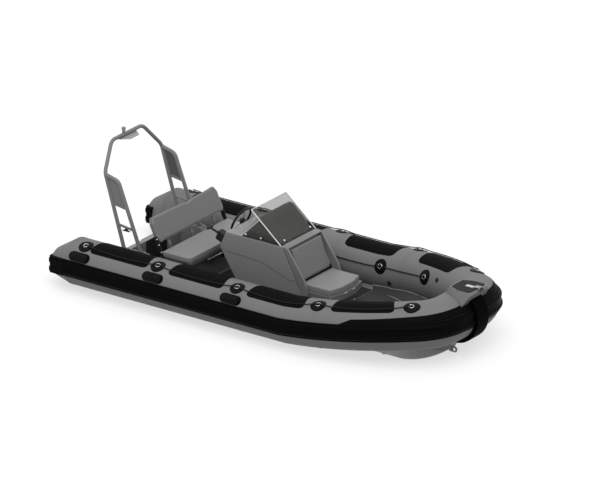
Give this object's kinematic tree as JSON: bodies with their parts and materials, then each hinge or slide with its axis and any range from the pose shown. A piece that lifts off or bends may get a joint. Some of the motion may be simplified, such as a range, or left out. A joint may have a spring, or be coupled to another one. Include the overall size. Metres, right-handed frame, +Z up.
{
  "type": "rigid inflatable boat",
  "caption": "Aluminium-hulled rigid inflatable boat with air tubes, console, windscreen, front seat, bench with backrest, stern arch and grab lines.",
  "frame": {"origin": "on the waterline, on the centre plane, half way along the tubes", "axes": "+X to the bow, +Y to port, +Z up"},
  "size_m": [5.1752, 2.3978, 1.907],
  "materials": {
    "tube_fabric": "matt coated polyester, light grey",
    "black_rubber": "moulded black rubber",
    "patch_rubber": "black non-slip wear patch",
    "black_plastic": "moulded black plastic",
    "black_rope": "braided black polyester line",
    "stainless": "polished stainless steel",
    "bare_alloy": "bare welded aluminium",
    "hull_paint": "light grey powder coat on aluminium",
    "arch_paint": "grey powder coat on aluminium tube",
    "gelcoat": "mid grey gelcoat",
    "seat_vinyl": "grey marine vinyl",
    "deck_mat": "dark grey non-slip mat",
    "wheel_black": "soft black rim",
    "tinted_acrylic": "grey tinted acrylic",
    "lamp_white": "white lens"
  },
  "bodies": {
    "boat": {"anchor_light": "lamp_white", "arch": "arch_paint", "backrest": "seat_vinyl", "backrest_struts": "hull_paint", "bench_box": "hull_paint", "bow_eye": "bare_alloy", "bow_roller": "black_plastic", "bow_step": "gelcoat", "bow_step_mat": "deck_mat", "bow_strap": "black_rubber", "bow_wear_patch": "black_rubber", "console": "gelcoat", "console_back_cushion": "seat_vinyl", "d_rings": "stainless", "deck_mats": "deck_mat", "front_seat_box": "gelcoat", "grab_lines_inner": "black_rope", "grab_lines_outer": "black_rope", "hull": "hull_paint", "light_plate": "arch_paint", "motor_pads": "black_plastic", "roller_cheeks": "stainless", "roundels": "black_rubber", "steering_boss": "black_plastic", "stern_eyes": "bare_alloy", "strake_bow": "black_rubber", "strake_port": "black_rubber", "strake_starboard": "black_rubber", "strake_wraps": "black_rubber", "throttle_box": "black_plastic", "throttle_lever": "black_plastic", "top_patches": "patch_rubber", "transom": "hull_paint", "transom_knees": "hull_paint", "tube_bow": "tube_fabric", "tube_handles": "black_rubber", "tube_port": "tube_fabric", "tube_starboard": "tube_fabric", "valves": "black_plastic", "windscreen": "tinted_acrylic"},
    "wheel": {"steering_wheel": "wheel_black"},
    "front_seat": {"front_seat_lid": "gelcoat", "front_seat_cushion": "seat_vinyl"},
    "bench_seat": {"bench_lid": "hull_paint", "bench_cushion": "seat_vinyl"}
  },
  "joints": [
    {"name": "steering", "type": "hinge", "parent": "boat", "child": "wheel", "pos_m": [-0.69916, 0.08, 0.79355], "axis": [-0.9164, 0, 0.4003], "range_deg": [-540, 540]},
    {"name": "front_seat_hinge", "type": "hinge", "parent": "boat", "child": "front_seat", "pos_m": [0.764, 0, 0.3663], "axis": [0, 1, 0], "range_deg": [0, 100]},
    {"name": "bench_hinge", "type": "hinge", "parent": "boat", "child": "bench_seat", "pos_m": [-0.972, 0, 0.4617], "axis": [0, 1, 0], "range_deg": [0, 75]}
  ]
}
